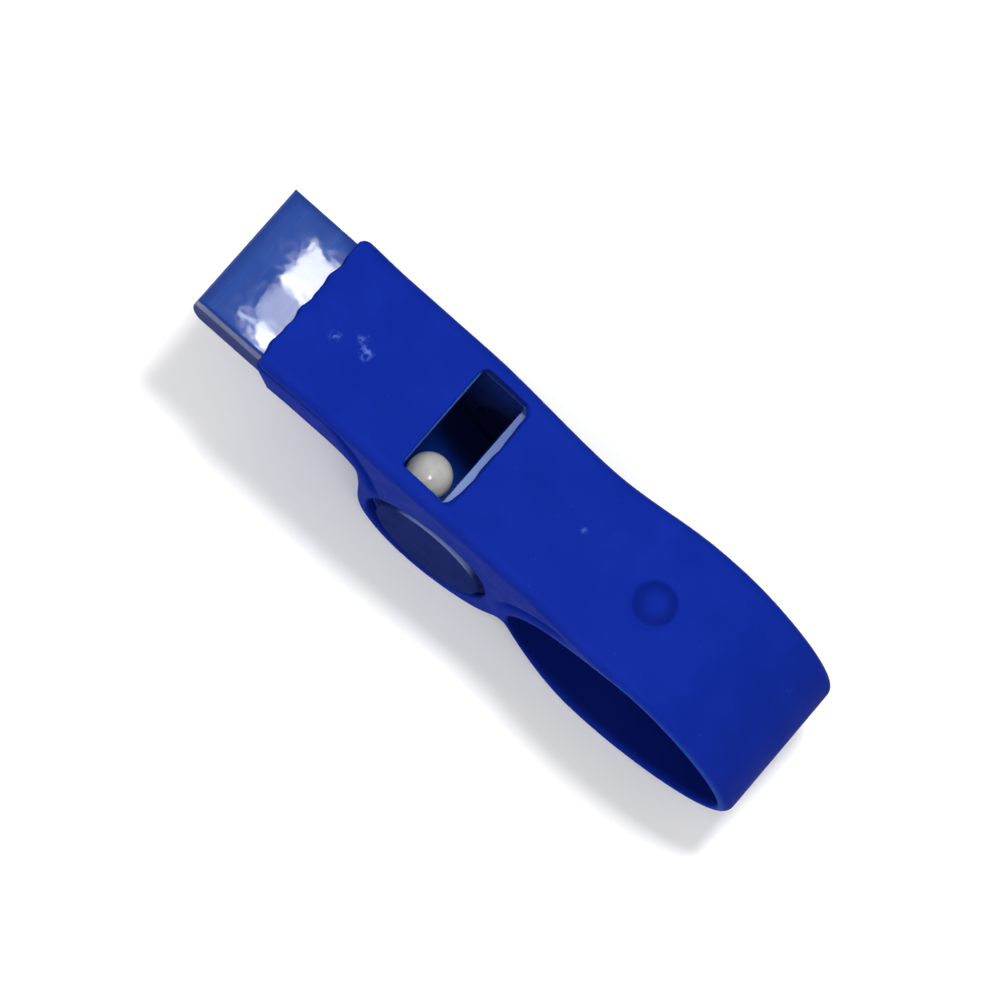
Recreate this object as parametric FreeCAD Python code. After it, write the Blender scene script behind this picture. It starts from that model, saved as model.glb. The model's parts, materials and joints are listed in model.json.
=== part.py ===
import FreeCAD
import Part

import math
import os

# Pea whistle in a soft finger-loop sleeve. Millimetres; +X from the mouthpiece to the tail of the loop,
# +Y to the far side, +Z up. The origin is under the middle of the whole object, where it stands.

# Whole object
LENGTH = 87.5
TIP_X = -LENGTH / 2
TAIL_X = LENGTH / 2

# Barrel, a cylinder that lies across the whistle
BARREL_X = -3.8
BARREL_Z = 11.2
BARREL_R = 10.4
CHAMBER_R = 9.05
BARREL_HALF_WIDTH = 8.5
CHAMBER_HALF_WIDTH = 7.5

# Mouthpiece and windway
MOUTH_HALF_WIDTH = 8.95
MOUTH_TOP_Z = 25.8
MOUTH_HEIGHT = 6.7
MOUTH_BOTTOM_Z = MOUTH_TOP_Z - MOUTH_HEIGHT
LIP_SETBACK = 1.6
LIP_BACK_SLOPE = 0.6
EDGE_ROUND = 0.3
PARTING_Z = 23.2
WINDWAY_FLOOR_Z = 22.7
WINDWAY_ROOF_Z = 24.4
WINDWAY_HALF_WIDTH = 7.3

# Sound window in the hard body, and the ramp that splits the air at its back
WINDOW_FRONT_X = -13.1
LABIUM_X = -6.5
LABIUM_Z = 24.1
RAMP_TOP_X = -4.2
RAMP_TOP_Z = 25.1
DECK_END_X = 2.0
DECK_END_Z = 24.2
DECK_FOOT_X = 5.0

# Side caps
CAP_PLUG_R = 9.0
BOSS_R = 7.85
BOSS_Y = 9.95
BOSS_ROUND = 0.35
CAP_POCKET_R = 6.5
CAP_POCKET_DEPTH = 1.1

# Ball, resting against the front of the chamber wall
PEA_R = 3.0
PEA_CLEARANCE = 0.05
PEA_ORBIT_R = CHAMBER_R - PEA_R - PEA_CLEARANCE
PEA_ANGLE_DEG = 66.0
PEA_Y = -2.3

# Soft sleeve
FIT_GAP = 0.05
SLEEVE_FRONT_X = -34.0
SLEEVE_TOP_Z = 26.9
SLEEVE_NECK_BOTTOM_Z = 18.1
SLEEVE_BARREL_X = -2.9
SLEEVE_BARREL_R = 12.3
NECK_HALF_WIDTH = 9.9
WAIST_X = 6.5
WAIST_Z = 25.2
WAIST_HALF_WIDTH = 9.4
LOOP_HALF_WIDTH = 10.3
LOOP_FULL_WIDTH_X = 22.0
TOP_BEND_X = -14.0
SLEEVE_WINDOW_BACK_X = -5.4
SLEEVE_WINDOW_FRONT_X = -13.35
SLEEVE_WINDOW_HALF_WIDTH = 7.85
SIDE_HOLE_X = -4.0
SIDE_HOLE_Z = 10.4
SIDE_HOLE_R = 8.95

# Finger loop, an oval whose outside and inside share these middles
LOOP_X = 25.0
LOOP_CREST_Z = 26.6
LOOP_TAIL_Z = 12.8
LOOP_ROOT_Z = 11.0
LOOP_OUTER_ROOT_X = 7.2
LOOP_INNER_ROOT_X = 8.8
LOOP_WALL = 1.6
# 2 would make each quarter an ellipse, and 1 a straight line
UPPER_FULLNESS = 1.65
LOWER_FULLNESS = 1.85
QUARTER_POINTS = 9

# Low dome on top of the loop
DOME_X = 20.0
DOME_R = 2.8
DOME_HEIGHT = 0.55
DOME_FOOT_Z = 26.4

SIDES = (-1, 1)


def point(x, z):
    return FreeCAD.Vector(x, 0, z)


def box(x0, x1, y0, y1, z0, z1):
    return Part.makeBox(x1 - x0, y1 - y0, z1 - z0, FreeCAD.Vector(x0, y0, z0))


def disc(radius, y0, y1, x=BARREL_X, z=BARREL_Z):
    """A cylinder across the whistle from y0 to y1, about the barrel's axis unless x and z are given."""
    return Part.makeCylinder(radius, y1 - y0, FreeCAD.Vector(x, y0, z), FreeCAD.Vector(0, 1, 0))


def across(edges, half_width):
    """The closed outline, drawn in the XZ plane, thickened to half_width each side of the middle."""
    face = Part.Face(Part.Wire(edges))
    solid = face.extrude(FreeCAD.Vector(0, 2 * half_width, 0))
    solid.translate(FreeCAD.Vector(0, -half_width, 0))
    return solid


def lines(corners):
    """Straight edges through the corners and back to the first."""
    closed = corners + corners[:1]
    return [Part.makeLine(a, b) for a, b in zip(closed[:-1], closed[1:])]


def spline(points, start_way, end_way):
    curve = Part.BSplineCurve()
    curve.interpolate(Points=points, InitialTangent=start_way, FinalTangent=end_way)
    return curve.toShape()


def quarter(end_x, middle_z, top_z, fullness):
    """A quarter of the oval from (LOOP_X, top_z) to (end_x, middle_z)."""
    points = []
    for step in range(QUARTER_POINTS):
        turn = math.pi / 2 * step / (QUARTER_POINTS - 1)
        along, up = math.sin(turn) ** (2 / fullness), abs(math.cos(turn)) ** (2 / fullness)
        points.append(point(LOOP_X + (end_x - LOOP_X) * along, middle_z + (top_z - middle_z) * up))
    return spline(points, point(end_x - LOOP_X, 0), point(0, middle_z - top_z))


def oval(root_x, tail_x, crest_z, floor_z, half_width):
    """The loop's oval: four quarters that meet at its crest, tail, floor and root."""
    edges = [
        quarter(root_x, LOOP_ROOT_Z, crest_z, UPPER_FULLNESS),
        quarter(tail_x, LOOP_TAIL_Z, crest_z, UPPER_FULLNESS),
        quarter(tail_x, LOOP_TAIL_Z, floor_z, LOWER_FULLNESS),
        quarter(root_x, LOOP_ROOT_Z, floor_z, LOWER_FULLNESS),
    ]
    return across(Part.__sortEdges__(edges), half_width)


def deck(gap):
    """The top of the barrel from the front of the window, past the ramp, and down to the barrel's round."""
    foot_z = BARREL_Z + BARREL_R / 2
    corners = [
        point(WINDOW_FRONT_X, foot_z),
        point(WINDOW_FRONT_X, MOUTH_TOP_Z + gap),
        point(RAMP_TOP_X, RAMP_TOP_Z + gap),
        point(DECK_END_X, DECK_END_Z + gap),
        point(DECK_FOOT_X + gap, foot_z),
    ]
    return across(lines(corners), BARREL_HALF_WIDTH + gap)


def windway_roof():
    plate = box(TIP_X, WINDOW_FRONT_X, -MOUTH_HALF_WIDTH, MOUTH_HALF_WIDTH, PARTING_Z, MOUTH_TOP_Z)
    top_edges = [e for e in plate.Edges if e.CenterOfMass.z > MOUTH_TOP_Z - EDGE_ROUND]
    front_and_sides = [e for e in top_edges if e.CenterOfMass.x < WINDOW_FRONT_X - EDGE_ROUND]
    plate = plate.makeFillet(EDGE_ROUND, front_and_sides)
    windway = box(TIP_X, WINDOW_FRONT_X, -WINDWAY_HALF_WIDTH, WINDWAY_HALF_WIDTH, PARTING_Z, WINDWAY_ROOF_Z)
    return plate.cut(windway)


def under_lip():
    """The space in front of the lower lip, which curves back from the parting line to its underside."""
    lip_top, lip_foot = point(TIP_X, PARTING_Z), point(TIP_X + LIP_SETBACK, MOUTH_BOTTOM_Z)
    front = spline([lip_top, lip_foot], FreeCAD.Vector(0, 0, -1), FreeCAD.Vector(1, 0, -LIP_BACK_SLOPE))
    ahead_x = TIP_X - LIP_SETBACK
    corners = [lip_foot, point(ahead_x, MOUTH_BOTTOM_Z), point(ahead_x, PARTING_Z), lip_top]
    edges = [Part.makeLine(a, b) for a, b in zip(corners[:-1], corners[1:])]
    return across([front] + edges, MOUTH_HALF_WIDTH)


def whistle_body():
    neck = box(TIP_X, BARREL_X, -MOUTH_HALF_WIDTH, MOUTH_HALF_WIDTH, MOUTH_BOTTOM_Z, PARTING_Z)
    neck = neck.cut(under_lip())
    beside_barrel = box(BARREL_X - BARREL_R, BARREL_X, -MOUTH_HALF_WIDTH, MOUTH_HALF_WIDTH, 0, MOUTH_TOP_Z)
    beside_barrel = beside_barrel.cut(
        box(TIP_X, BARREL_X, -BARREL_HALF_WIDTH, BARREL_HALF_WIDTH, 0, MOUTH_TOP_Z))
    neck = neck.cut(beside_barrel)
    body = disc(BARREL_R, -BARREL_HALF_WIDTH, BARREL_HALF_WIDTH).fuse([neck, deck(0)])
    window = box(WINDOW_FRONT_X, LABIUM_X, -CHAMBER_HALF_WIDTH, CHAMBER_HALF_WIDTH, BARREL_Z,
                 MOUTH_TOP_Z)
    over_ramp = across(lines([
        point(LABIUM_X, LABIUM_Z),
        point(RAMP_TOP_X, RAMP_TOP_Z),
        point(RAMP_TOP_X, MOUTH_TOP_Z),
        point(LABIUM_X, MOUTH_TOP_Z),
    ]), CHAMBER_HALF_WIDTH)
    windway = box(TIP_X, WINDOW_FRONT_X, -WINDWAY_HALF_WIDTH, WINDWAY_HALF_WIDTH, WINDWAY_FLOOR_Z,
                  PARTING_Z)
    chamber = disc(CHAMBER_R, -MOUTH_HALF_WIDTH, MOUTH_HALF_WIDTH)
    return body.cut([window, over_ramp, windway, chamber]).removeSplitter()


def side_cap(side):
    def layer(radius, inner_y, outer_y):
        return disc(radius, min(side * inner_y, side * outer_y), max(side * inner_y, side * outer_y))

    boss = layer(BOSS_R, BARREL_HALF_WIDTH, BOSS_Y)
    rim = [e for e in boss.Edges if abs(abs(e.CenterOfMass.y) - BOSS_Y) < BOSS_ROUND]
    boss = boss.makeFillet(BOSS_ROUND, [e for e in rim if e.Closed])
    cap = layer(CAP_PLUG_R, CHAMBER_HALF_WIDTH, BARREL_HALF_WIDTH).fuse(boss)
    pocket = layer(CAP_POCKET_R, CHAMBER_HALF_WIDTH, CHAMBER_HALF_WIDTH + CAP_POCKET_DEPTH)
    return cap.cut(pocket).removeSplitter()


def pea():
    angle = math.radians(PEA_ANGLE_DEG)
    centre = FreeCAD.Vector(BARREL_X - PEA_ORBIT_R * math.sin(angle), PEA_Y,
                            BARREL_Z - PEA_ORBIT_R * math.cos(angle))
    return Part.makeSphere(PEA_R, centre)


def top_block():
    """Everything under the sleeve's top line, from its front to the crest of the loop."""
    top_line = spline(
        [point(TOP_BEND_X, SLEEVE_TOP_Z), point(WAIST_X, WAIST_Z), point(LOOP_X, LOOP_CREST_Z)],
        FreeCAD.Vector(1, 0, 0), FreeCAD.Vector(1, 0, 0))
    corners = [
        point(LOOP_X, LOOP_CREST_Z),
        point(LOOP_X, LOOP_TAIL_Z),
        point(SLEEVE_BARREL_X, LOOP_TAIL_Z),
        point(SLEEVE_BARREL_X, SLEEVE_NECK_BOTTOM_Z),
        point(SLEEVE_FRONT_X, SLEEVE_NECK_BOTTOM_Z),
        point(SLEEVE_FRONT_X, SLEEVE_TOP_Z),
        point(TOP_BEND_X, SLEEVE_TOP_Z),
    ]
    edges = [Part.makeLine(a, b) for a, b in zip(corners[:-1], corners[1:])]
    return across([top_line] + edges, LOOP_HALF_WIDTH)


def plan_block():
    """The sleeve seen from above: narrower at the waist, widest round the loop."""
    def side_line(side):
        def at(x, half_width):
            return FreeCAD.Vector(x, side * half_width, 0)
        along = FreeCAD.Vector(1, 0, 0)
        return spline([at(TOP_BEND_X, NECK_HALF_WIDTH), at(WAIST_X, WAIST_HALF_WIDTH),
                       at(LOOP_FULL_WIDTH_X, LOOP_HALF_WIDTH)], along, along)

    edges = []
    for side in SIDES:
        edges.append(side_line(side))
        edges.append(Part.makeLine(FreeCAD.Vector(SLEEVE_FRONT_X, side * NECK_HALF_WIDTH, 0),
                                   FreeCAD.Vector(TOP_BEND_X, side * NECK_HALF_WIDTH, 0)))
        edges.append(Part.makeLine(FreeCAD.Vector(LOOP_FULL_WIDTH_X, side * LOOP_HALF_WIDTH, 0),
                                   FreeCAD.Vector(TAIL_X, side * LOOP_HALF_WIDTH, 0)))
    edges.append(Part.makeLine(FreeCAD.Vector(SLEEVE_FRONT_X, -NECK_HALF_WIDTH, 0),
                               FreeCAD.Vector(SLEEVE_FRONT_X, NECK_HALF_WIDTH, 0)))
    edges.append(Part.makeLine(FreeCAD.Vector(TAIL_X, -LOOP_HALF_WIDTH, 0),
                               FreeCAD.Vector(TAIL_X, LOOP_HALF_WIDTH, 0)))
    face = Part.Face(Part.Wire(Part.__sortEdges__(edges)))
    return face.extrude(FreeCAD.Vector(0, 0, SLEEVE_TOP_Z))


def dome():
    ball_r = (DOME_R ** 2 + DOME_HEIGHT ** 2) / (2 * DOME_HEIGHT)
    ball = Part.makeSphere(ball_r, point(DOME_X, DOME_FOOT_Z + DOME_HEIGHT - ball_r))
    return ball.common(box(DOME_X - DOME_R, DOME_X + DOME_R, -DOME_R, DOME_R,
                           DOME_FOOT_Z - LOOP_WALL / 2, DOME_FOOT_Z + DOME_HEIGHT))


def body_room():
    """The space the hard whistle fills inside the sleeve, with a hair of clearance."""
    neck = box(SLEEVE_FRONT_X, WINDOW_FRONT_X, -MOUTH_HALF_WIDTH - FIT_GAP, MOUTH_HALF_WIDTH + FIT_GAP,
               MOUTH_BOTTOM_Z - FIT_GAP, MOUTH_TOP_Z + FIT_GAP)
    barrel = disc(BARREL_R + FIT_GAP, -BARREL_HALF_WIDTH - FIT_GAP, BARREL_HALF_WIDTH + FIT_GAP)
    return neck.fuse([barrel, deck(FIT_GAP)])


def finger_sleeve():
    outer = top_block().fuse([
        disc(SLEEVE_BARREL_R, -LOOP_HALF_WIDTH, LOOP_HALF_WIDTH, SLEEVE_BARREL_X, SLEEVE_BARREL_R),
        oval(LOOP_OUTER_ROOT_X, TAIL_X, LOOP_CREST_Z, 0, LOOP_HALF_WIDTH),
    ])
    opening = oval(LOOP_INNER_ROOT_X, TAIL_X - LOOP_WALL, LOOP_CREST_Z - LOOP_WALL, LOOP_WALL, LENGTH)
    window = box(SLEEVE_WINDOW_FRONT_X, SLEEVE_WINDOW_BACK_X, -SLEEVE_WINDOW_HALF_WIDTH,
                 SLEEVE_WINDOW_HALF_WIDTH, BARREL_Z, SLEEVE_TOP_Z)
    side_holes = disc(SIDE_HOLE_R, -LENGTH, LENGTH, SIDE_HOLE_X, SIDE_HOLE_Z)
    shell = outer.common(plan_block()).fuse(dome())
    return shell.cut([opening, body_room(), window, side_holes]).removeSplitter()


os.makedirs("parts", exist_ok=True)
nodes = {
    "whistle_body": whistle_body(),
    "windway_roof": windway_roof(),
    "near_side_cap": side_cap(-1),
    "far_side_cap": side_cap(1),
    "pea": pea(),
    "finger_sleeve": finger_sleeve(),
}
for name, shape in nodes.items():
    solids = shape.Solids
    size = shape.BoundBox
    print(name, "solids", len(solids), "valid", shape.isValid(), "volume", round(shape.Volume, 1),
          "box", [round(v, 2) for v in (size.XMin, size.XMax, size.YMin, size.YMax, size.ZMin, size.ZMax)])
    shape.exportStep(f"parts/{name}.step")
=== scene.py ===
import json
import math

import bmesh
import bpy
import numpy as np
from mathutils import Matrix, Vector


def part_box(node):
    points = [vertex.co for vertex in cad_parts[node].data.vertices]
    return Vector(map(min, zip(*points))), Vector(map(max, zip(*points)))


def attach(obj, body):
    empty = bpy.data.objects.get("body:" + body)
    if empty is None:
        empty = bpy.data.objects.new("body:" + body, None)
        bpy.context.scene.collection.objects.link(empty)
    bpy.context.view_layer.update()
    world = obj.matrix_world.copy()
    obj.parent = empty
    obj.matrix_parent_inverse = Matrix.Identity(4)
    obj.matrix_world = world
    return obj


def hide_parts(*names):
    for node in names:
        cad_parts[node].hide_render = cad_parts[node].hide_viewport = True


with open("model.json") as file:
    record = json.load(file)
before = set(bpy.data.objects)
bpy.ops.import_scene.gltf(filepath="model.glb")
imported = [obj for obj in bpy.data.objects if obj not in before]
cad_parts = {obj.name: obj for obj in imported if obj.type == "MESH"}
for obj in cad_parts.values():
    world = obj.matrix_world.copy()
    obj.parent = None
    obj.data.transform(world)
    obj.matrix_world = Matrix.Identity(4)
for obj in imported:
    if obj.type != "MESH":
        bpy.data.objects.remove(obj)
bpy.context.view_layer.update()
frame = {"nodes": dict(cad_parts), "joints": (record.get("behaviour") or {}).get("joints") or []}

# All lengths below are millimetres in the part's own frame, unless a name says otherwise.
MM = 0.001

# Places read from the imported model
sleeve_low, sleeve_high = (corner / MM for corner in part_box("finger_sleeve"))
pea_low, pea_high = (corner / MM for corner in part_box("pea"))
joint = next(j for j in frame["joints"] if j["name"] == "pea_roll")
BARREL_X, BARREL_Z = joint["pos_m"][0] / MM, joint["pos_m"][2] / MM
SLEEVE_FRONT_X, TAIL_X = sleeve_low.x, sleeve_high.x
LOOP_HALF_WIDTH = sleeve_high.y
MOUTH_TIP_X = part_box("windway_roof")[0].x / MM
PEA_R = (pea_high.z - pea_low.z) / 2

# Neck, barrel and waist of the sleeve
SLEEVE_TOP_Z = 26.9
NECK_BOTTOM_Z = 18.1
NECK_HALF_WIDTH = 9.9
SLEEVE_BARREL_X = -2.9
SLEEVE_BARREL_R = 12.3
WAIST_X = 6.5
WAIST_Z = 25.2
WAIST_HALF_WIDTH = 9.4
TOP_BEND_X = -14.0
FLARE_X = -27.0
FLARE_Z = 0.35
FLARE_Y = 0.12

# Finger loop
LOOP_FULL_WIDTH_X = 22.0
LOOP_X = 25.0
LOOP_CREST_Z = 26.6
LOOP_TAIL_Z = 12.8
LOOP_ROOT_Z = 11.0
LOOP_OUTER_ROOT_X = 7.2
LOOP_INNER_ROOT_X = 8.8
LOOP_WALL = 1.6
UPPER_FULLNESS = 1.65
LOWER_FULLNESS = 1.85
OVAL_SOFTNESS = 0.05

# Radii of the sleeve's edges
NECK_EDGE_ROUND = 1.5
NECK_BOTTOM_ROUND = 1.0
LOOP_EDGE_ROUND = 1.1
TAIL_EDGE_ROUND = 1.35
BARREL_EDGE_ROUND = 0.5
INNER_EDGE_ROUND = 0.35
CUT_EDGE_ROUND = 0.3
FRONT_EDGE_ROUND = 0.45

# Fillets where the barrel meets the neck and the loop: least width, and how much wider they are lower down
BARREL_BLEND = (0.4, 9.5)
NOTCH_BLEND = (0.02, 2.2)

# The front end leans back towards the underside, and its flanks reach a little further forward
FRONT_SLANT = 3.2
FRONT_FLAP = 0.5
FRONT_FLAP_TOP_Z = (24.8, 26.0)

# Flank of the neck, stepped in below the edge of the barrel's cheek
FLANK_STEP = 0.12
FLANK_STEP_FADE = (-0.1, 0.3)
FLANK_CREASE = 0.12
FLANK_TOP_Z = 25.3
NECK_FADE_Z = (13.0, 16.5)
CREASE_DROP = 0.7
CREASE_WIDTH = 0.7
CHEEK_FLARE_Z = 30.0
CHEEK_MARGIN = 0.95
CHEEK_BLEND = 48.75

# Groove outside the loop's rim
RIM_WIDTH = 1.9
RIM_GROOVE_DEPTH = 0.5
RIM_GROOVE_WIDTH = 0.75
RIM_GROOVE_END_X = (12.0, 18.0)
RIM_GROOVE_START_Z = (LOOP_ROOT_Z, LOOP_ROOT_Z + 4)
RIM_GROOVE_END_Z = (22.0, 24.5)

# The barrel's underside, where the sleeve's edge is sharper, fading towards the loop and upwards
LOW_BARREL_X = (5.0, 9.0)
LOW_BARREL_Z = (5.0, 12.0)

# Space for the hard whistle inside the sleeve
ROOM_HALF_WIDTH = 9.0
ROOM_BARREL_HALF_WIDTH = 8.55
ROOM_TOP_Z = 25.85
ROOM_BOTTOM_Z = 19.05
ROOM_BARREL_R = 10.45
RAMP_TOP_X, RAMP_TOP_Z = -4.2, 25.1
DECK_END_X, DECK_END_Z = 2.0, 24.2
DECK_GAP = 0.05
DECK_BACK_WAY = (0.89, 0.45)

# Openings in the sleeve
WINDOW_FRONT_X = -13.35
WINDOW_BACK_X = -5.4
WINDOW_HALF_WIDTH = 7.85
WINDOW_CORNER_R = 1.2
LIP_COVER = 0.4
LIP_END_COVER = 0.9
LIP_END_POWER = 6
LIP_TOP_Z = SLEEVE_TOP_Z - 0.4
LIP_ROUND = 0.1
SIDE_HOLE_X = -4.0
SIDE_HOLE_Z = 10.4
SIDE_HOLE_R = 8.95

# Dome on the loop, with a shallow channel round its foot and a dimple in its middle
DOME_X = 20.0
DOME_R = 2.8
DOME_HEIGHT = 0.65
DOME_FOOT_GAP = 0.1
DOME_FOOT_DEPTH = 0.12
DOME_FOOT_WIDTH = 0.35
DIMPLE_DEPTH = 0.07
DIMPLE_WIDTH = 0.5

# Waves of the silicone's free edges along y: height, radians per millimetre and phase
FRONT_WAVES = ((0.11, 1.3, 0.4), (0.08, 2.3, 2.0), (0.03, 4.7, 0.0))
LIP_WAVES = ((0.1, 1.15, 2.4), (0.04, 2.6, 0.0))

# Where painted shade deepens the silicone's colour (the flank grooves, round the dome's foot, inside the
# loop) and takes away its sheen in the grooves, and where a painted sheen line runs beside the loop's
# opening
FLANK_Y = (8.3, 8.9)
FOOT_SHADE_R = 2.25
FOOT_SHADE_INSIDE, FOOT_SHADE_OUTSIDE = 1.1, 0.5
FOOT_SHADE = 0.45
LOOP_INSIDE_DEPTH = (0.05, 0.5)
LOOP_INSIDE_Y = (9.0, 10.2)
LOOP_INSIDE_SHADE = 0.75
RIM_SHEEN_PLACE = 0.55
RIM_SHEEN_WIDTH = 0.4
RIM_SHEEN_Y = (9.6, 10.1)
RIM_SHEEN_Z = (LOOP_ROOT_Z - 2, LOOP_ROOT_Z + 2)

# Pale rubbed places on the sleeve: centre, radius and strength
SCUFFS = (
    ((-28.9, -1.6, 26.9), 0.5, 0.45),
    ((-26.2, 0.4, 26.9), 0.45, 0.45),
    ((-24.9, -0.6, 26.9), 0.7, 0.6),
    ((8.1, 1.2, 25.3), 0.15, 0.5),
    ((39.0, 4.6, 20.0), 0.3, 0.3),
)

# Stretches of the sleeve's grid along each axis, finer at edges and creases: start, end and pitch
GRID_X = (
    (-35.1, -30.3, 0.15),
    (-30.3, -15, 0.25),
    (-15, -4.6, 0.16),
    (-4.6, 7.0, 0.28),
    (7.0, 16.4, 0.2),
    (16.4, 23.6, 0.18),
    (23.6, 44.5, 0.25),
)
GRID_Y = (
    (-10.9, -6.6, 0.17),
    (-6.6, -3.6, 0.3),
    (-3.6, 3.6, 0.2),
    (3.6, 6.6, 0.3),
    (6.6, 10.9, 0.17),
)
GRID_Z = (
    (-0.6, 14, 0.3),
    (14, 24, 0.2),
    (24, 27.9, 0.15),
)

# Parting line and gate mark of the ball; the widths are on a ball of radius 1
SEAM_HEIGHT = 0.03
SEAM_WIDTH = 0.03
SEAM_WAY = (0.3, 0.25, 1)
GATE_DEPTH = 0.06
GATE_WIDTH = 0.012
GATE_SIDE = (1, 0.4, 0)

# Side caps: radius of the raised round, and where its outer face begins
BOSS_R = 7.85
BOSS_FACE_Y = (9.2, 9.4)

# Broken edges of the hard plastic
EDGE_BREAK = 0.12
EDGE_ANGLE_DEG = 40

# Colours: linear red, green and blue, and 1 for solid
SILICONE_BLUES = ((0.0033, 0.0160, 0.222, 1), (0.0043, 0.0183, 0.242, 1))
# Painted shade in the flank grooves
GROOVE_SHADE_BLUE = (0.0022, 0.0120, 0.19, 1)
# Painted sheen line beside the loop's opening
RIM_SHEEN_BLUE = (0.016, 0.065, 0.35, 1)
# Painted shade inside the loop and round the dome's foot
LOOP_SHADE_BLUE = (0.001, 0.004, 0.07, 1)
SCUFF_BLUE = (0.13, 0.22, 0.62, 1)
ROOF_BLUES = ((0.013, 0.045, 0.22, 1), (0.016, 0.053, 0.25, 1))
ROOF_STREAK_BLUE = (0.024, 0.075, 0.30, 1)
# Painted shade along the roof's tip, far edge and sides
ROOF_EDGE_SHADE_BLUE = (0.006, 0.022, 0.15, 1)
# The lower moulding, painted darker than the roof as shade
BODY_SHADED_BLUES = ((0.006, 0.018, 0.12, 1), (0.008, 0.021, 0.14, 1))
BODY_SHADED_STREAK_BLUE = (0.010, 0.026, 0.16, 1)
# A painted pool of light in the near part of the chamber
CHAMBER_LIT_BLUE = (0.007, 0.042, 0.33, 1)
# A painted reflection on the polished ramp, paler to the near side
RAMP_REFLECTION_BLUES = ((0.04, 0.085, 0.30, 1), (0.10, 0.17, 0.42, 1))
CAP_BLUES = ((0.010, 0.018, 0.10, 1), (0.013, 0.022, 0.118, 1))
CAP_STREAK_BLUE = (0.016, 0.027, 0.13, 1)
# A painted highlight on the upper part of the boss's rim
CAP_RIM_HIGHLIGHT_BLUE = (0.16, 0.22, 0.45, 1)
IVORIES = ((0.58, 0.575, 0.55, 1), (0.66, 0.655, 0.63, 1))
PAPER_WHITES = ((0.93, 0.93, 0.93, 1), (0.95, 0.95, 0.95, 1))

# Specular levels: the silicone hardly mirrors, and the plastic does where it is polished
SILICONE_SHEEN = 0.012
POLISHED_SHEEN = 0.5
ROOF_SIDE_SHEEN = 0.08
CHAMBER_SHEEN = 0.01


# ---------------------------------------------------------------- distance fields and their mesh

def smooth_min(a, b, width):
    """The nearer of two distances, blended into a fillet about as wide as width."""
    share = np.clip(0.5 + 0.5 * (b - a) / width, 0, 1)
    return b * (1 - share) + a * share - width * share * (1 - share)


def both(a, b, radius):
    """Inside both shapes, with the edge between them rounded to radius."""
    grown_a, grown_b = a + radius, b + radius
    inside = np.minimum(np.maximum(grown_a, grown_b), 0)
    return inside + np.hypot(np.maximum(grown_a, 0), np.maximum(grown_b, 0)) - radius


def ease(value, start, end):
    """0 before start, 1 after end, and a smooth step between."""
    t = np.clip((value - start) / (end - start), 0, 1)
    return t * t * (3 - 2 * t)


def ridge(away, width):
    """1 where away is 0, and close to 0 from twice width to each side."""
    return np.exp(-(away / width) ** 2)


def waves(y, parts):
    """A sum of sine waves along y, from parts of (height, radians per millimetre, phase)."""
    return sum(height * np.sin(rate * y + phase) for height, rate, phase in parts)


def grid_line(stretches):
    """Grid places along one axis, from stretches of (start, end, pitch)."""
    parts = [np.arange(start, end, pitch) for start, end, pitch in stretches]
    return np.concatenate(parts + [[stretches[-1][1]]])


def settle(points, field, rounds=3, reach=0.15):
    """Moves points onto the field's zero surface, by at most reach each round."""
    probe = 0.01
    for _ in range(rounds):
        distance = field(*points.T)
        slope = np.stack([
            (field(*(points + probe * way).T) - field(*(points - probe * way).T)) / (2 * probe)
            for way in np.eye(3)
        ], axis=1)
        steepness = np.maximum((slope ** 2).sum(axis=1), 0.25)
        step = np.clip(distance / steepness, -reach, reach)
        points = points - step[:, None] * slope
    return points


def cell_corner(values, corner, shape):
    """The grid values at one corner of every cell."""
    return values[tuple(slice(offset, offset + n) for offset, n in zip(corner, shape))]


def crossing_points(distance, cells, lines):
    """One point per cell: the mean of the places where the surface crosses the cell's edges."""
    total, hits = np.zeros((len(cells), 3)), np.zeros(len(cells))
    for corner in np.ndindex(2, 2, 2):
        for axis in range(3):
            if corner[axis]:
                continue
            a, b = cells + corner, cells + corner + np.eye(3, dtype=int)[axis]
            distance_a, distance_b = distance[tuple(a.T)], distance[tuple(b.T)]
            cuts = (distance_a < 0) != (distance_b < 0)
            share = np.where(cuts, distance_a / np.where(cuts, distance_a - distance_b, 1), 0)[:, None]
            point_a = np.stack([lines[i][a[:, i]] for i in range(3)], axis=1)
            point_b = np.stack([lines[i][b[:, i]] for i in range(3)], axis=1)
            total += np.where(cuts[:, None], point_a + share * (point_b - point_a), 0)
            hits += cuts
    return total / hits[:, None]


def surface_of(field, *lines):
    """Vertices and quads of the field's zero surface on a grid, one vertex per crossed cell."""
    distance = field(*np.meshgrid(*lines, indexing="ij"))
    inside = distance < 0
    shape = np.array(inside.shape) - 1
    count = sum(cell_corner(inside, corner, shape).astype(int) for corner in np.ndindex(2, 2, 2))
    crossed = (count > 0) & (count < 8)
    cells = np.argwhere(crossed)
    number = np.full(shape, -1)
    number[crossed] = np.arange(len(cells))

    quads = []
    for axis in range(3):
        ahead, second, third = np.roll(np.eye(3, dtype=int), -axis, axis=0)
        low, high = cell_corner(inside, (0, 0, 0), shape), cell_corner(inside, ahead, shape)
        edges = np.argwhere(low != high)
        edges = edges[(edges @ second > 0) & (edges @ third > 0)]
        ring = [number[tuple((edges - away).T)] for away in (0 * second, second, second + third, third)]
        ring = np.stack(ring, axis=1)
        leaving = low[tuple(edges.T)]
        quads.append(np.where(leaving[:, None], ring, ring[:, ::-1]))
    return crossing_points(distance, cells, lines), np.concatenate(quads)


def part_sheets(mesh):
    """Collapses the few edges shared by two sheets of the surface, so that every edge has two faces."""
    work = bmesh.new()
    work.from_mesh(mesh)
    bmesh.ops.collapse(work, edges=[edge for edge in work.edges if len(edge.link_faces) > 2])
    work.to_mesh(mesh)
    work.free()


def add_object(name, mesh, material):
    """Puts a finished mesh into the scene, with its material."""
    mesh.materials.append(material)
    piece = bpy.data.objects.new(name, mesh)
    bpy.context.scene.collection.objects.link(piece)
    return piece


# ---------------------------------------------------------------- the silicone sleeve

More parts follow.
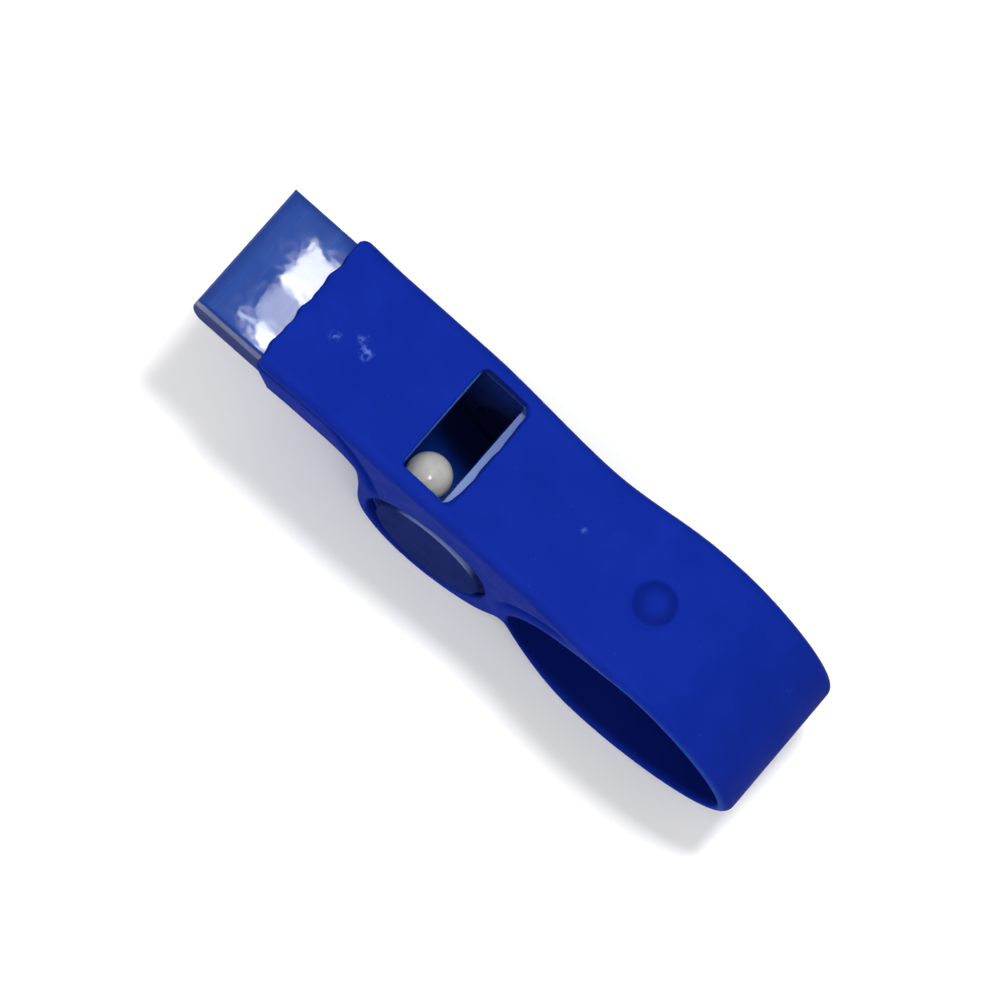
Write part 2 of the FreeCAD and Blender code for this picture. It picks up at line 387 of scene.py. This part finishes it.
def loop_oval(x, z, root_x, tail_x, crest_z, floor_z):
    """Signed distance to the loop's oval, whose four quarters meet at its crest, tail, floor and root."""
    front = x < LOOP_X
    reach = np.where(front, LOOP_X - root_x, tail_x - LOOP_X)
    middle_z = np.where(front, LOOP_ROOT_Z, LOOP_TAIL_Z)
    rise = np.where(z > middle_z, crest_z - middle_z, middle_z - floor_z)
    fullness = np.where(z > middle_z, UPPER_FULLNESS, LOWER_FULLNESS)
    along = np.hypot((x - LOOP_X) / reach, OVAL_SOFTNESS)
    up = np.hypot((z - middle_z) / rise, OVAL_SOFTNESS)
    scale = (along ** fullness + up ** fullness) ** (1 / fullness)
    edge_scale = (OVAL_SOFTNESS ** fullness + (1 + OVAL_SOFTNESS ** 2) ** (fullness / 2)) ** (1 / fullness)
    slope = np.hypot(along ** (fullness - 1) / reach, up ** (fullness - 1) / rise)
    return (scale - edge_scale) * scale ** (fullness - 1) / slope


def loop_opening(x, z):
    return loop_oval(x, z, LOOP_INNER_ROOT_X, TAIL_X - LOOP_WALL, LOOP_CREST_Z - LOOP_WALL, LOOP_WALL)


def top_z(x):
    """Height of the sleeve's top: flared at the front end, lower at the waist, up again on the loop."""
    flare = FLARE_Z * (1 - ease(x, SLEEVE_FRONT_X, FLARE_X))
    waist = ease(x, TOP_BEND_X, WAIST_X) * (SLEEVE_TOP_Z - WAIST_Z)
    crest = ease(x, WAIST_X, LOOP_X) * (LOOP_CREST_Z - WAIST_Z)
    return SLEEVE_TOP_Z + flare - waist + crest


def dome_z(x, y):
    """Height of the low dome above the loop."""
    ball_r = (DOME_R ** 2 + DOME_HEIGHT ** 2) / (2 * DOME_HEIGHT)
    away = np.hypot(x - DOME_X, y)
    cap = np.sqrt(np.maximum(ball_r ** 2 - away ** 2, 0)) - (ball_r - DOME_HEIGHT)
    foot = DOME_FOOT_DEPTH * ridge(away - DOME_R - DOME_FOOT_GAP, DOME_FOOT_WIDTH)
    return np.maximum(cap, 0) - foot - DIMPLE_DEPTH * ridge(away, DIMPLE_WIDTH)


def from_barrel(x, z):
    return np.hypot(x - BARREL_X, z - BARREL_Z)


def from_sleeve_barrel(x, z):
    return np.hypot(x - SLEEVE_BARREL_X, z - SLEEVE_BARREL_R)


def cheek(x, z):
    """Side-view distance to the full-width cheek round the barrel, which flares up to the neck's top."""
    return smooth_min(CHEEK_FLARE_Z - z, from_sleeve_barrel(x, z) - CHEEK_MARGIN, CHEEK_BLEND)


def below_cheek(x, z):
    """How far a place on the neck's flank is below the edge of the cheek and of the top slab."""
    return np.minimum(cheek(x, z) + CREASE_DROP, FLANK_TOP_Z - z)


def on_neck(x, z):
    """1 on the neck in front of the barrel, fading to 0 below it."""
    return (x < SLEEVE_BARREL_X) * ease(z, *NECK_FADE_Z)


def cheek_crease(x, z):
    """1 along the crease under the cheek's edge, fading to 0 at each side."""
    return on_neck(x, z) * ridge(below_cheek(x, z) - CREASE_DROP, CREASE_WIDTH)


def rim_groove(x, z):
    """1 along the valley outside the loop's rim, fading to 0 at each side and towards both its ends."""
    valley = ridge(loop_opening(x, z) - RIM_WIDTH, RIM_GROOVE_WIDTH)
    valley = valley * (1 - ease(x, *RIM_GROOVE_END_X))
    return valley * ease(z, *RIM_GROOVE_START_Z) * (1 - ease(z, *RIM_GROOVE_END_Z))


def half_width(x, z):
    """Half the sleeve's width: stepped in below the cheek's edge, and grooved outside the loop's rim."""
    flare = FLARE_Y * (1 - ease(x, SLEEVE_FRONT_X, FLARE_X))
    waist = ease(x, TOP_BEND_X, WAIST_X) * (NECK_HALF_WIDTH - WAIST_HALF_WIDTH)
    loop = ease(x, WAIST_X, LOOP_FULL_WIDTH_X) * (LOOP_HALF_WIDTH - WAIST_HALF_WIDTH)
    step = FLANK_STEP * on_neck(x, z) * ease(below_cheek(x, z), *FLANK_STEP_FADE)
    grooves = FLANK_CREASE * cheek_crease(x, z) + RIM_GROOVE_DEPTH * rim_groove(x, z)
    return NECK_HALF_WIDTH + flare - waist + loop - step - grooves


def front_end_x(y, z):
    """Where the sleeve's front end is: wavy, slanted back towards the underside, with its flanks forward."""
    slant = FRONT_SLANT * (1 - ease(z, NECK_BOTTOM_Z - 1, ROOM_TOP_Z - 1))
    flap = FRONT_FLAP * ease(np.abs(y), ROOM_HALF_WIDTH - 0.1, NECK_HALF_WIDTH)
    return SLEEVE_FRONT_X + waves(y, FRONT_WAVES) + slant - flap * (1 - ease(z, *FRONT_FLAP_TOP_Z))


def edge_round(x, z):
    """Radius of the edge along each flank."""
    edge = NECK_EDGE_ROUND + ease(x, WAIST_X, LOOP_FULL_WIDTH_X) * (LOOP_EDGE_ROUND - NECK_EDGE_ROUND)
    edge = edge + ease(x, LOOP_FULL_WIDTH_X, TAIL_X) * (TAIL_EDGE_ROUND - LOOP_EDGE_ROUND)
    low_barrel = (1 - ease(x, *LOW_BARREL_X)) * (1 - ease(z, *LOW_BARREL_Z))
    return edge + low_barrel * (BARREL_EDGE_ROUND - NECK_EDGE_ROUND)


def sleeve_outside(x, y, z):
    """The neck's block, the barrel and the loop's oval, blended together and as wide as half_width says."""
    floor_z = np.where(x < SLEEVE_BARREL_X, NECK_BOTTOM_Z, SLEEVE_BARREL_R)
    block = both(z - top_z(x) - dome_z(x, y), front_end_x(y, z) - x, FRONT_EDGE_ROUND)
    block = both(block, floor_z - z, NECK_BOTTOM_ROUND)
    block = np.maximum(block, x - LOOP_X)
    barrel = from_sleeve_barrel(x, z) - SLEEVE_BARREL_R
    oval = loop_oval(x, z, LOOP_OUTER_ROOT_X, TAIL_X, LOOP_CREST_Z, 0)
    oval = oval - dome_z(x, y) * (z > LOOP_TAIL_Z)
    barrel_blend = BARREL_BLEND[0] + BARREL_BLEND[1] * (1 - ease(z, NECK_BOTTOM_Z, FLANK_TOP_Z - 1))
    notch_blend = NOTCH_BLEND[0] + NOTCH_BLEND[1] * (1 - ease(z, SLEEVE_BARREL_R - 3, LOOP_TAIL_Z + 3))
    profile = smooth_min(smooth_min(block, barrel, barrel_blend), oval, notch_blend)
    return both(profile, np.abs(y) - half_width(x, z), edge_round(x, z))


def whistle_room(x, y, z):
    """The space that the mouthpiece, the barrel and the deck behind the window take up."""
    neck = np.maximum.reduce([
        np.abs(y) - ROOM_HALF_WIDTH, ROOM_BOTTOM_Z - z, z - ROOM_TOP_Z, x - WINDOW_FRONT_X])
    barrel = np.maximum(from_barrel(x, z) - ROOM_BARREL_R, np.abs(y) - ROOM_BARREL_HALF_WIDTH)
    deck_fall = (RAMP_TOP_Z - DECK_END_Z) / (DECK_END_X - RAMP_TOP_X)
    deck_top = z - (RAMP_TOP_Z + DECK_GAP - (x - RAMP_TOP_X) * deck_fall)
    deck_back = (x - DECK_END_X) * DECK_BACK_WAY[0] + (z - DECK_END_Z) * DECK_BACK_WAY[1]
    deck = np.maximum.reduce([
        deck_top, deck_back, np.abs(y) - ROOM_BARREL_HALF_WIDTH, BARREL_Z - z, WINDOW_FRONT_X - x])
    return np.minimum.reduce([neck, barrel, deck])


def sleeve_window(x, y, z):
    """The sleeve's window; its rear edge lies a little wavy on the hard ramp below it."""
    middle_x = (WINDOW_FRONT_X + WINDOW_BACK_X) / 2
    half_length = (WINDOW_BACK_X - WINDOW_FRONT_X) / 2
    deep = 1 - ease(z, RAMP_TOP_Z, LIP_TOP_Z)
    lip_ends = LIP_END_COVER * (y / WINDOW_HALF_WIDTH) ** LIP_END_POWER
    lip = deep * (LIP_COVER + waves(y, LIP_WAVES) + lip_ends)
    along = both(x - middle_x + lip - half_length, middle_x - x - half_length, LIP_ROUND)
    plan = both(along, np.abs(y) - WINDOW_HALF_WIDTH, WINDOW_CORNER_R)
    return np.maximum(plan, BARREL_Z - z)


def sleeve_field(x, y, z):
    """The whole sleeve: its outside, less the loop's opening, the whistle's room and the cut windows."""
    shell = both(sleeve_outside(x, y, z), -loop_opening(x, z), INNER_EDGE_ROUND)
    side_hole = np.hypot(x - SIDE_HOLE_X, z - SIDE_HOLE_Z) - SIDE_HOLE_R
    side_hole = np.maximum(side_hole, WAIST_HALF_WIDTH / 2 - np.abs(y))
    for cut in (whistle_room(x, y, z), sleeve_window(x, y, z), side_hole):
        shell = both(shell, -cut, CUT_EDGE_ROUND)
    return shell


def groove_shade(x, y, z):
    """1 in the grooves of the flanks, where shade is painted into the colour and the silicone's grazing
    sheen is taken away.
    """
    return ease(np.abs(y), *FLANK_Y) * np.clip(cheek_crease(x, z) + rim_groove(x, z), 0, 1)


def painted_shade(x, y, z):
    """How much painted shade darkens the silicone's blue inside the loop and round the dome's foot."""
    past_foot = np.hypot(x - DOME_X, y) - FOOT_SHADE_R
    foot = ridge(past_foot, np.where(past_foot > 0, FOOT_SHADE_OUTSIDE, FOOT_SHADE_INSIDE))
    foot = foot * (z > LOOP_CREST_Z - LOOP_WALL)
    inside = (1 - ease(loop_opening(x, z), *LOOP_INSIDE_DEPTH)) * (1 - ease(np.abs(y), *LOOP_INSIDE_Y))
    return np.clip(FOOT_SHADE * foot + LOOP_INSIDE_SHADE * inside, 0, 1)


def rim_sheen(x, y, z):
    """1 along the painted sheen: a pale line on the loop's flank beside its opening."""
    line = ridge(loop_opening(x, z) - RIM_SHEEN_PLACE, RIM_SHEEN_WIDTH)
    return line * ease(np.abs(y), *RIM_SHEEN_Y) * ease(z, *RIM_SHEEN_Z)


def make_sleeve(material):
    """The sleeve as one closed mesh, which holds at each vertex the numbers that its material reads."""
    points, quads = surface_of(sleeve_field, grid_line(GRID_X), grid_line(GRID_Y), grid_line(GRID_Z))
    points = settle(points, sleeve_field)
    mesh = bpy.data.meshes.new("silicone_sleeve")
    mesh.from_pydata((points * MM).tolist(), [], quads.tolist())
    mesh.validate()
    part_sheets(mesh)
    mesh.shade_smooth()
    sleeve = add_object("silicone_sleeve", mesh, material)
    points = np.array([vertex.co for vertex in mesh.vertices]) / MM
    # Per-vertex masks for painted shade in the grooves, inside the loop and round the dome's foot, and for a
    # painted sheen line by the loop's rim
    for name, formula in (("groove_shade", groove_shade), ("painted_shade", painted_shade), ("rim_sheen", rim_sheen)):
        values = mesh.attributes.new(name, "FLOAT", "POINT").data
        values.foreach_set("value", formula(*points.T))
    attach(sleeve, "whistle")
    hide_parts("finger_sleeve")


# ---------------------------------------------------------------- the ball

def make_ball(material):
    """A moulded ball with a fine parting line round it and the low mark of its gate."""
    ball = bmesh.new()
    bmesh.ops.create_icosphere(ball, subdivisions=6, radius=1)
    seam_way = Vector(SEAM_WAY).normalized()
    gate_way = seam_way.cross(Vector(GATE_SIDE)).normalized()
    centre = (pea_low + pea_high) / 2
    for vertex in ball.verts:
        way = vertex.co.normalized()
        seam = SEAM_HEIGHT * math.exp(-(way.dot(seam_way) / SEAM_WIDTH) ** 2)
        gate = GATE_DEPTH * math.exp(-((1 - way.dot(gate_way)) / GATE_WIDTH) ** 2)
        vertex.co = (centre + way * (PEA_R - SEAM_HEIGHT + seam - gate)) * MM
    mesh = bpy.data.meshes.new("ivory_pea")
    ball.to_mesh(mesh)
    ball.free()
    mesh.shade_smooth()
    piece = add_object("ivory_pea", mesh, material)
    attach(piece, "ball")
    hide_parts("pea")


# ---------------------------------------------------------------- materials

class Shade:
    """A Principled material and the few node steps its colour, roughness and bump are built from."""

    def __init__(self, name):
        self.material = bpy.data.materials.new(name)
        self.material.use_nodes = True
        self.tree = self.material.node_tree
        self.shader = self.tree.nodes["Principled BSDF"]
        self.place = self.tree.nodes.new("ShaderNodeTexCoord").outputs["Object"]

    def plug(self, value, socket):
        """Links an output to a socket, or sets a plain number or colour on it."""
        if isinstance(value, (int, float, tuple)):
            socket.default_value = value
        else:
            self.tree.links.new(value, socket)

    def math(self, operation, a, b=0.0, clamp=False):
        node = self.tree.nodes.new("ShaderNodeMath")
        node.operation = operation
        node.use_clamp = clamp
        self.plug(a, node.inputs[0])
        self.plug(b, node.inputs[1])
        return node.outputs[0]

    def vector_math(self, operation, a, b):
        node = self.tree.nodes.new("ShaderNodeVectorMath")
        node.operation = operation
        self.plug(a, node.inputs[0])
        self.plug(b, node.inputs[1])
        return node.outputs

    def attribute(self, name):
        """A number that the mesh holds at each of its vertices."""
        node = self.tree.nodes.new("ShaderNodeAttribute")
        node.attribute_name = name
        return node.outputs["Fac"]

    def axes(self):
        """The X, Y and Z of each place, in metres."""
        node = self.tree.nodes.new("ShaderNodeSeparateXYZ")
        self.plug(self.place, node.inputs[0])
        return node.outputs

    def noise(self, size_mm, detail=2.0, stretch=(1, 1, 1)):
        """Noise from 0 to 1, with features about size_mm across and stretched along each axis."""
        mapping = self.tree.nodes.new("ShaderNodeMapping")
        mapping.inputs["Scale"].default_value = [1 / (size_mm * MM * s) for s in stretch]
        self.plug(self.place, mapping.inputs["Vector"])
        noise = self.tree.nodes.new("ShaderNodeTexNoise")
        noise.inputs["Scale"].default_value = 1
        noise.inputs["Detail"].default_value = detail
        self.plug(mapping.outputs[0], noise.inputs["Vector"])
        return noise.outputs[0]

    def ramp(self, value, low, high, to_low=0.0, to_high=1.0):
        """Turns a value from low to high into one from to_low to to_high, by a smooth step."""
        node = self.tree.nodes.new("ShaderNodeMapRange")
        node.interpolation_type = "SMOOTHSTEP"
        for socket, number in zip(node.inputs[1:5], (low, high, to_low, to_high)):
            socket.default_value = number
        self.plug(value, node.inputs[0])
        return node.outputs[0]

    def ramp_mm(self, place, low_mm, high_mm, to_low=0.0, to_high=1.0):
        """A ramp of a place or distance in metres, between two places in millimetres."""
        return self.ramp(place, low_mm * MM, high_mm * MM, to_low, to_high)

    def spot(self, centre_mm, radius_mm, edge_mm=0.5):
        """1 within radius_mm of a place, falling to 0 over a ragged edge."""
        away = self.vector_math("DISTANCE", self.place, tuple(c * MM for c in centre_mm))["Value"]
        centred = self.math("SUBTRACT", self.noise(0.9, detail=2), 0.5)
        ragged = self.math("MULTIPLY", centred, 2 * edge_mm * MM)
        return self.ramp_mm(self.math("ADD", away, ragged), radius_mm - edge_mm, radius_mm + edge_mm, 1, 0)

    def mix(self, share, a, b):
        """Colour a where share is 0 and colour b where it is 1."""
        node = self.tree.nodes.new("ShaderNodeMix")
        node.data_type = "RGBA"
        self.plug(share, node.inputs["Factor"])
        self.plug(a, node.inputs[6])
        self.plug(b, node.inputs[7])
        return node.outputs[2]

    def color(self, value):
        self.plug(value, self.shader.inputs["Base Color"])

    def roughness(self, value):
        self.plug(value, self.shader.inputs["Roughness"])

    def specular(self, value):
        self.plug(value, self.shader.inputs["Specular IOR Level"])

    def bump(self, height, depth_mm):
        node = self.tree.nodes.new("ShaderNodeBump")
        node.inputs["Distance"].default_value = depth_mm * MM
        self.plug(height, node.inputs["Height"])
        self.plug(node.outputs[0], self.shader.inputs["Normal"])


def silicone():
    """Moulded blue silicone: a matte skin with faint clouding and pale scuffs on top of the neck, with
    painted shade in the flank grooves, inside the loop and round the dome's foot, and a painted sheen line
    beside the loop's opening.
    """
    shade = Shade("matte_silicone")
    clouds = shade.ramp(shade.noise(5, detail=4), 0.3, 0.7)
    color = shade.mix(clouds, *SILICONE_BLUES)
    shaded_groove = shade.attribute("groove_shade")
    # Painted shade in the grooves
    color = shade.mix(shaded_groove, color, GROOVE_SHADE_BLUE)
    # Painted sheen line beside the loop's opening
    color = shade.mix(shade.math("MULTIPLY", shade.attribute("rim_sheen"), 0.6), color, RIM_SHEEN_BLUE)
    # Painted shade inside the loop and round the dome's foot
    color = shade.mix(shade.math("MULTIPLY", shade.attribute("painted_shade"), 0.95), color, LOOP_SHADE_BLUE)
    shade.specular(SILICONE_SHEEN)
    shade.specular(shade.ramp(shaded_groove, 0, 1, SILICONE_SHEEN, 0))
    scuff = 0.0
    for centre, radius, strength in SCUFFS:
        patch = shade.math("MULTIPLY", shade.spot(centre, radius), strength)
        scuff = shade.math("ADD", scuff, patch, clamp=True)
    scuff = shade.math("MULTIPLY", scuff, shade.ramp(shade.noise(0.6, detail=3), 0.4, 0.65))
    specks = shade.ramp(shade.noise(0.5, detail=0), 0.84, 0.87, 0, 0.05)
    shade.color(shade.mix(shade.math("MAXIMUM", scuff, specks), color, SCUFF_BLUE))
    shade.roughness(shade.ramp(shade.noise(2.5, detail=3), 0.3, 0.7, 0.5, 0.62))
    shade.bump(shade.noise(0.35, detail=3), 0.012)
    return shade.material


def hard_plastic(name, blues, streak):
    """Glossy blue plastic, clouded between two blues, with fine flow lines across the mouthpiece."""
    shade = Shade(name)
    clouds = shade.ramp(shade.noise(3, detail=3), 0.3, 0.7)
    flow = shade.ramp(shade.noise(0.45, detail=1, stretch=(1, 25, 25)), 0.5, 0.75, 0, 0.5)
    color = shade.mix(flow, shade.mix(clouds, *blues), streak)
    shade.roughness(shade.ramp(shade.noise(1.2, detail=3), 0.35, 0.7, 0.018, 0.04))
    shade.bump(shade.noise(1.9, detail=1.2), 0.0019)
    return shade, color


def roof_plastic():
    """The upper moulding, with painted shade, a deeper blue, along its tip, its far edge and its sides."""
    shade, color = hard_plastic("roof_plastic", ROOF_BLUES, ROOF_STREAK_BLUE)
    x, y, _ = shade.axes()
    tip = shade.ramp_mm(x, MOUTH_TIP_X + 0.4, MOUTH_TIP_X + 2.0, 1, 0)
    far = shade.ramp_mm(y, ROOM_HALF_WIDTH - 1.5, ROOM_HALF_WIDTH - 0.4)
    side = shade.ramp_mm(shade.math("ABSOLUTE", y), ROOM_HALF_WIDTH - 0.5, ROOM_HALF_WIDTH - 0.25)
    # Painted shade along the tip, the far edge and the sides
    edge = shade.math("MAXIMUM", shade.math("MAXIMUM", tip, far), side)
    shade.color(shade.mix(shade.math("MULTIPLY", edge, 0.6), color, ROOF_EDGE_SHADE_BLUE))
    shade.specular(shade.ramp(side, 0, 1, POLISHED_SHEEN, ROOF_SIDE_SHEEN))
    return shade.material


def body_plastic():
    """The lower moulding: painted darker than the roof as shade, and duller, with a painted pool of light in
    the near part of the chamber and a painted reflection, paler to the near side, on the polished ramp
    behind the window.
    """
    shade, color = hard_plastic("body_plastic", BODY_SHADED_BLUES, BODY_SHADED_STREAK_BLUE)
    x, y, z = shade.axes()
    # Painted pool of light: the near part of the chamber is coloured as if lit
    past_front = shade.ramp_mm(x, WINDOW_FRONT_X - 1, WINDOW_FRONT_X)
    chamber_light = shade.math("MULTIPLY", past_front, shade.ramp_mm(y, 1.5, 5.5, 1, 0))
    color = shade.mix(chamber_light, color, CHAMBER_LIT_BLUE)
    # Painted reflection on the polished ramp, paler towards the near side
    high = shade.ramp_mm(z, RAMP_TOP_Z - 1.6, RAMP_TOP_Z - 1.4)
    behind = shade.ramp_mm(x, RAMP_TOP_X - 2.5, RAMP_TOP_X - 2.4)
    ramp = shade.math("MULTIPLY", high, behind)
    near = shade.ramp_mm(y, -6, 4, 1, 0)
    shade.color(shade.mix(ramp, color, shade.mix(near, *RAMP_REFLECTION_BLUES)))
    shade.roughness(shade.ramp(ramp, 0, 1, 0.35, 0.1))
    shade.specular(shade.ramp(ramp, 0, 1, CHAMBER_SHEEN, POLISHED_SHEEN))
    return shade.material


def cap_plastic():
    """The side caps: the darkest plastic, with a painted highlight round the upper part of the boss's rim.
    """
    shade, color = hard_plastic("cap_plastic", CAP_BLUES, CAP_STREAK_BLUE)
    side_view = shade.vector_math("MULTIPLY", shade.place, (1, 0, 1))["Vector"]
    out = shade.vector_math("DISTANCE", side_view, (BARREL_X * MM, 0, BARREL_Z * MM))["Value"]
    # Painted highlight on the upper part of the boss's rim
    rim = shade.ramp_mm(out, BOSS_R - 0.28, BOSS_R - 0.14, 0, 0.8)
    _, y, z = shade.axes()
    outer = shade.ramp_mm(shade.math("ABSOLUTE", y), *BOSS_FACE_Y)
    upper = shade.math("MULTIPLY", shade.ramp_mm(z, BARREL_Z + 4.6, BARREL_Z + 7.2), outer)
    shade.color(shade.mix(shade.math("MULTIPLY", rim, upper), color, CAP_RIM_HIGHLIGHT_BLUE))
    shade.roughness(0.4)
    shade.specular(0)
    return shade.material


def ivory():
    """Off-white moulded ball with a faintly mottled, satin surface."""
    shade = Shade("ivory_ball")
    mottle = shade.ramp(shade.noise(0.9, detail=4), 0.3, 0.7)
    shade.color(shade.mix(mottle, *IVORIES))
    shade.roughness(shade.ramp(shade.noise(0.5, detail=2), 0.3, 0.7, 0.17, 0.21))
    shade.bump(shade.noise(0.3, detail=2), 0.0035)
    return shade.material


def paper():
    """The floor's plain pale paper."""
    shade = Shade("pale_floor")
    shade.color(shade.mix(shade.noise(30, detail=3), *PAPER_WHITES))
    shade.roughness(0.8)
    return shade.material


def dress_cad(node, material):
    """Gives a hard CAD node its material, smooth faces and finely broken edges."""
    cad = frame["nodes"][node]
    cad.data.materials.clear()
    cad.data.materials.append(material)
    bevel = cad.modifiers.new("broken_edges", "BEVEL")
    bevel.width = EDGE_BREAK * MM
    bevel.segments = 3
    bevel.limit_method = "ANGLE"
    bevel.angle_limit = math.radians(EDGE_ANGLE_DEG)
    bevel.harden_normals = True


# ---------------------------------------------------------------- floor, light and camera

FLOOR_REACH_M = 3.0
ROOM_LIGHT = 0.18

# Lamps over the mouthpiece whose images make its pale patches: name, place, size in metres and power
PATCH_AIM = (-36, 0, 25)
PATCH_LAMPS = (
    ("patch_far", (-28.8, 149.4, 600), (0.0152, 0.0095), 0.010),
    ("patch_middle", (-29.5, 141.3, 600), (0.014, 0.010), 0.0036),
    ("patch_near", (-27.5, 133.8, 600), (0.0126, 0.0038), 0.0045),
    ("patch_spot", (-36.5, 134.6, 600), (0.004, 0.002), 0.0003),
)

CAMERA_TARGET = (-1.12, 0.41, 12.5)
CAMERA_LEAN_NEAR_DEG = 14.06
CAMERA_LEAN_FRONT_DEG = 2.58
CAMERA_ROLL_DEG = 41.5
CAMERA_AWAY_M = 0.9
LENS_MM, SENSOR_MM = 272.1348, 36


def make_floor():
    reach = FLOOR_REACH_M
    mesh = bpy.data.meshes.new("floor")
    mesh.from_pydata(
        [(-reach, -reach, 0), (reach, -reach, 0), (reach, reach, 0), (-reach, reach, 0)], [], [(0, 1, 2, 3)])
    floor = add_object("floor", mesh, paper())


def area_light(name, place, aim, size_m, power, reflected=True, lights=True):
    """A rectangular lamp; reflected says if gloss shows it, and lights if it lights matte surfaces."""
    light = bpy.data.lights.new(name, "AREA")
    light.shape = "RECTANGLE"
    light.size, light.size_y = size_m
    light.energy = power
    lamp = bpy.data.objects.new(name, light)
    lamp.location = Vector(place) * MM
    lamp.rotation_euler = (Vector(place) - Vector(aim)).to_track_quat("Z", "Y").to_euler()
    lamp.visible_glossy = reflected
    lamp.visible_diffuse = lights
    bpy.context.scene.collection.objects.link(lamp)


def make_lamps():
    area_light("key", (-45, 155, 600), (0, 0, 10), (0.12, 0.10), 2.6, reflected=False)
    area_light("overhead", (0, -60, 1200), (0, 0, 0), (2.2, 2.2), 7, reflected=False)
    area_light("near_fill", (0, -700, 900), (0, 0, 0), (1.6, 1.2), 8, reflected=False)
    area_light("front", (-414, 145, 441), (0, 0, 20), (0.2, 0.2), 0.25)
    area_light("near", (0, -500, 450), (0, 0, 15), (0.3, 0.12), 0.3)
    area_light("flash", (88, -165, 690), (-9, -2, 10), (0.07, 0.07), 2.4, lights=False)
    for name, place, size_m, power in PATCH_LAMPS:
        area_light(name, place, PATCH_AIM, size_m, power)


def make_world():
    world = bpy.data.worlds.new("soft_room")
    world.use_nodes = True
    background = world.node_tree.nodes["Background"]
    background.inputs["Color"].default_value = (1, 1, 1, 1)
    background.inputs["Strength"].default_value = ROOM_LIGHT
    bpy.context.scene.world = world


def make_camera():
    """A long lens looking down from the near side, turned so the whistle runs to the lower right."""
    lean_near, lean_front = math.radians(CAMERA_LEAN_NEAR_DEG), math.radians(CAMERA_LEAN_FRONT_DEG)
    roll = math.radians(CAMERA_ROLL_DEG)
    back = Vector((-math.tan(lean_front), -math.tan(lean_near), 1)).normalized()
    level = (Vector((1, 0, 0)) - back.x * back).normalized()
    upward = back.cross(level)
    right = math.cos(roll) * level + math.sin(roll) * upward
    up = math.cos(roll) * upward - math.sin(roll) * level
    turn = Matrix((right, up, back)).transposed().to_4x4()
    camera = bpy.data.cameras.new("camera")
    camera.sensor_width = SENSOR_MM
    camera.lens = LENS_MM
    camera.clip_start, camera.clip_end = 0.01, 10
    view = bpy.data.objects.new("camera", camera)
    view.matrix_world = Matrix.Translation(Vector(CAMERA_TARGET) * MM + back * CAMERA_AWAY_M) @ turn
    bpy.context.scene.collection.objects.link(view)
    bpy.context.scene.camera = view


dress_cad("whistle_body", body_plastic())
dress_cad("windway_roof", roof_plastic())
side_plastic = cap_plastic()
for node in ("near_side_cap", "far_side_cap"):
    dress_cad(node, side_plastic)
make_ball(ivory())
make_sleeve(silicone())
make_floor()
make_world()
make_lamps()
make_camera()
bpy.context.scene.view_settings.view_transform = "Standard"
